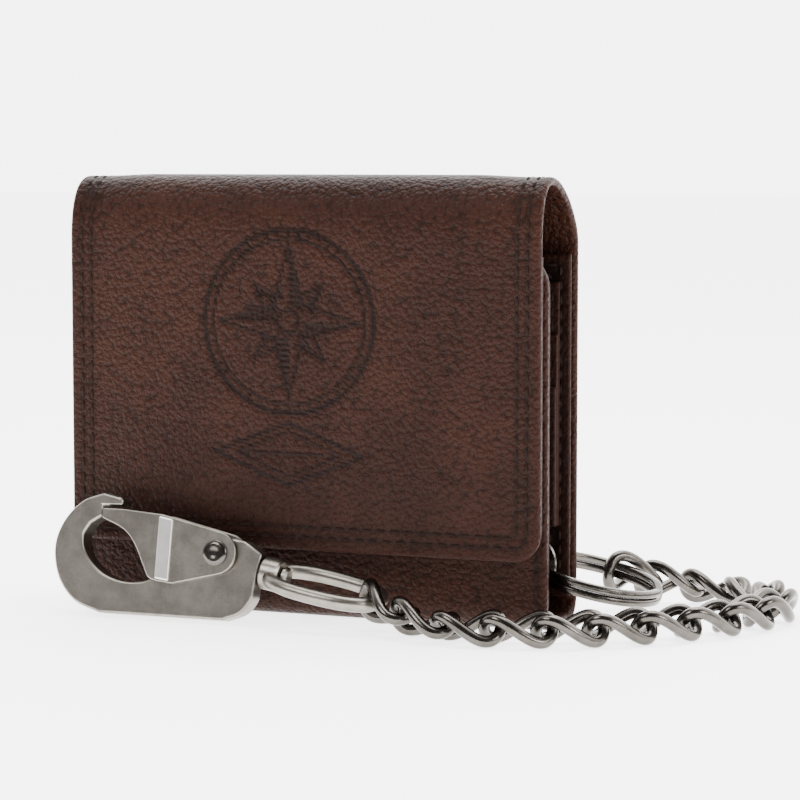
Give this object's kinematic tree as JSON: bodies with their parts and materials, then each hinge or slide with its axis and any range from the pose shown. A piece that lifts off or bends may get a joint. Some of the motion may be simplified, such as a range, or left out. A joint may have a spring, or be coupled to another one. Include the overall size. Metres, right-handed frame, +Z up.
{
  "type": "trifold chain wallet",
  "caption": "Trifold leather wallet standing on its bottom fold, with a key ring through an eyelet, a twisted curb chain and a swivel snap hook.",
  "frame": {"origin": "middle of the bottom fold's flat underside, on which the wallet stands", "axes": "+X along the folds towards the edge with the eyelet, -Y out of the front flap, +Z up"},
  "size_m": [0.1532, 0.0759, 0.094],
  "materials": {
    "outer_leather": "dark brown pebbled leather with a waxed sheen",
    "lining_leather": "smooth dark brown lining leather",
    "clear_window": "clear flexible plastic",
    "dark_steel": "polished gunmetal plating",
    "antique_nickel": "aged nickel plating with fine speckle"
  },
  "bodies": {
    "back_panel": {"back_cover": "outer_leather", "bill_divider": "lining_leather", "back_lining": "lining_leather", "card_pocket_1": "lining_leather", "card_pocket_2": "lining_leather", "card_pocket_3": "lining_leather", "eyelet": "dark_steel", "eyelet_washer": "dark_steel", "bottom_fold": "outer_leather"},
    "top_fold": {"top_fold": "outer_leather"},
    "front_flap": {"front_flap_cover": "outer_leather", "front_flap_lining": "lining_leather", "id_window_frame": "lining_leather", "id_window": "clear_window"},
    "inner_flap": {"inner_flap_cover": "outer_leather", "inner_flap_lining": "lining_leather", "inner_flap_pocket": "lining_leather"},
    "split_ring": {"split_ring": "dark_steel"},
    "link_15": {"link_15": "dark_steel"},
    "link_14": {"link_14": "dark_steel"},
    "link_13": {"link_13": "dark_steel"},
    "link_12": {"link_12": "dark_steel"},
    "link_11": {"link_11": "dark_steel"},
    "link_10": {"link_10": "dark_steel"},
    "link_09": {"link_09": "dark_steel"},
    "link_08": {"link_08": "dark_steel"},
    "link_07": {"link_07": "dark_steel"},
    "link_06": {"link_06": "dark_steel"},
    "link_05": {"link_05": "dark_steel"},
    "link_04": {"link_04": "dark_steel"},
    "link_03": {"link_03": "dark_steel"},
    "link_02": {"link_02": "dark_steel"},
    "link_01": {"link_01": "dark_steel"},
    "swivel_loop": {"swivel_loop": "antique_nickel"},
    "hook": {"hook_body": "antique_nickel", "swivel_pin": "antique_nickel", "lever_rivet": "dark_steel", "lever_spring": "dark_steel"},
    "lever": {"lever": "antique_nickel"}
  },
  "joints": [
    {"name": "front_flap_fold", "type": "hinge", "parent": "back_panel", "child": "top_fold", "pos_m": [0, 0.0125, 0.08], "axis": [-1, 0, 0], "range_deg": [0, 90]},
    {"name": "front_flap_open", "type": "hinge", "parent": "top_fold", "child": "front_flap", "pos_m": [0, -0.0125, 0.08], "axis": [-1, 0, 0], "range_deg": [0, 90]},
    {"name": "inner_flap_open", "type": "hinge", "parent": "back_panel", "child": "inner_flap", "pos_m": [0, -0.008, 0.0043], "axis": [1, 0, 0], "range_deg": [0, 14]},
    {"name": "ring_swing", "type": "hinge", "parent": "back_panel", "child": "split_ring", "pos_m": [0.0445, 0.0125, 0.0122], "axis": [0, -1, 0], "range_deg": [0, 70]},
    {"name": "link_15_bend", "type": "hinge", "parent": "split_ring", "child": "link_15", "pos_m": [0.05838, 0.02629, 0.00882], "axis": [0, 0, 1], "range_deg": [0, 25]},
    {"name": "link_14_bend", "type": "hinge", "parent": "link_15", "child": "link_14", "pos_m": [0.06285, 0.03363, 0.00606], "axis": [0, 0, 1], "range_deg": [0, 25]},
    {"name": "link_13_bend", "type": "hinge", "parent": "link_14", "child": "link_13", "pos_m": [0.07144, 0.03924, 0.00433], "axis": [0, 0, 1], "range_deg": [0, 25]},
    {"name": "link_12_bend", "type": "hinge", "parent": "link_13", "child": "link_12", "pos_m": [0.08181, 0.03945, 0.0036], "axis": [0, 0, 1], "range_deg": [0, 25]},
    {"name": "link_11_bend", "type": "hinge", "parent": "link_12", "child": "link_11", "pos_m": [0.09055, 0.0338, 0.0036], "axis": [0, 0, 1], "range_deg": [0, 25]},
    {"name": "link_10_bend", "type": "hinge", "parent": "link_11", "child": "link_10", "pos_m": [0.09463, 0.02424, 0.0036], "axis": [0, 0, 1], "range_deg": [0, 25]},
    {"name": "link_09_bend", "type": "hinge", "parent": "link_10", "child": "link_09", "pos_m": [0.09339, 0.01391, 0.0036], "axis": [0, 0, 1], "range_deg": [0, 25]},
    {"name": "link_08_bend", "type": "hinge", "parent": "link_09", "child": "link_08", "pos_m": [0.08902, 0.00448, 0.0036], "axis": [0, 0, 1], "range_deg": [0, 25]},
    {"name": "link_07_bend", "type": "hinge", "parent": "link_08", "child": "link_07", "pos_m": [0.08307, -0.00405, 0.0036], "axis": [0, 0, 1], "range_deg": [0, 25]},
    {"name": "link_06_bend", "type": "hinge", "parent": "link_07", "child": "link_06", "pos_m": [0.076, -0.01168, 0.0036], "axis": [0, 0, 1], "range_deg": [0, 25]},
    {"name": "link_05_bend", "type": "hinge", "parent": "link_06", "child": "link_05", "pos_m": [0.06793, -0.01824, 0.0036], "axis": [0, 0, 1], "range_deg": [0, 25]},
    {"name": "link_04_bend", "type": "hinge", "parent": "link_05", "child": "link_04", "pos_m": [0.05885, -0.02331, 0.0036], "axis": [0, 0, 1], "range_deg": [0, 25]},
    {"name": "link_03_bend", "type": "hinge", "parent": "link_04", "child": "link_03", "pos_m": [0.04886, -0.0262, 0.0036], "axis": [0, 0, 1], "range_deg": [0, 25]},
    {"name": "link_02_bend", "type": "hinge", "parent": "link_03", "child": "link_02", "pos_m": [0.03846, -0.0264, 0.0036], "axis": [0, 0, 1], "range_deg": [0, 25]},
    {"name": "link_01_bend", "type": "hinge", "parent": "link_02", "child": "link_01", "pos_m": [0.02838, -0.0241, 0.00473], "axis": [0, 0, 1], "range_deg": [0, 25]},
    {"name": "swivel_loop_bend", "type": "hinge", "parent": "link_01", "child": "swivel_loop", "pos_m": [0.0193, -0.0195, 0.00684], "axis": [0, 0, 1], "range_deg": [0, 25]},
    {"name": "hook_swivel", "type": "hinge", "parent": "swivel_loop", "child": "hook", "pos_m": [-0.00523, -0.0195, 0.01116], "axis": [0.9848, 0, -0.1736], "range_deg": [0, 40]},
    {"name": "lever_open", "type": "hinge", "parent": "hook", "child": "lever", "pos_m": [-0.01463, -0.01918, 0.01433], "axis": [0.0361, -0.9781, 0.2047], "range_deg": [0, 18], "stiffness_Nm_per_rad": 0.06, "springref_deg": -11.46}
  ],
  "couplings": [
    {"joint": "front_flap_fold", "follows": "link_11_bend", "ratio": 3.6},
    {"joint": "front_flap_open", "follows": "link_11_bend", "ratio": 3.6},
    {"joint": "inner_flap_open", "follows": "link_11_bend", "ratio": 0.56},
    {"joint": "link_10_bend", "follows": "link_11_bend", "ratio": 1},
    {"joint": "link_09_bend", "follows": "link_11_bend", "ratio": 1},
    {"joint": "link_08_bend", "follows": "link_11_bend", "ratio": 1},
    {"joint": "link_07_bend", "follows": "link_11_bend", "ratio": 1},
    {"joint": "link_06_bend", "follows": "link_11_bend", "ratio": 1},
    {"joint": "link_05_bend", "follows": "link_11_bend", "ratio": 1}
  ]
}
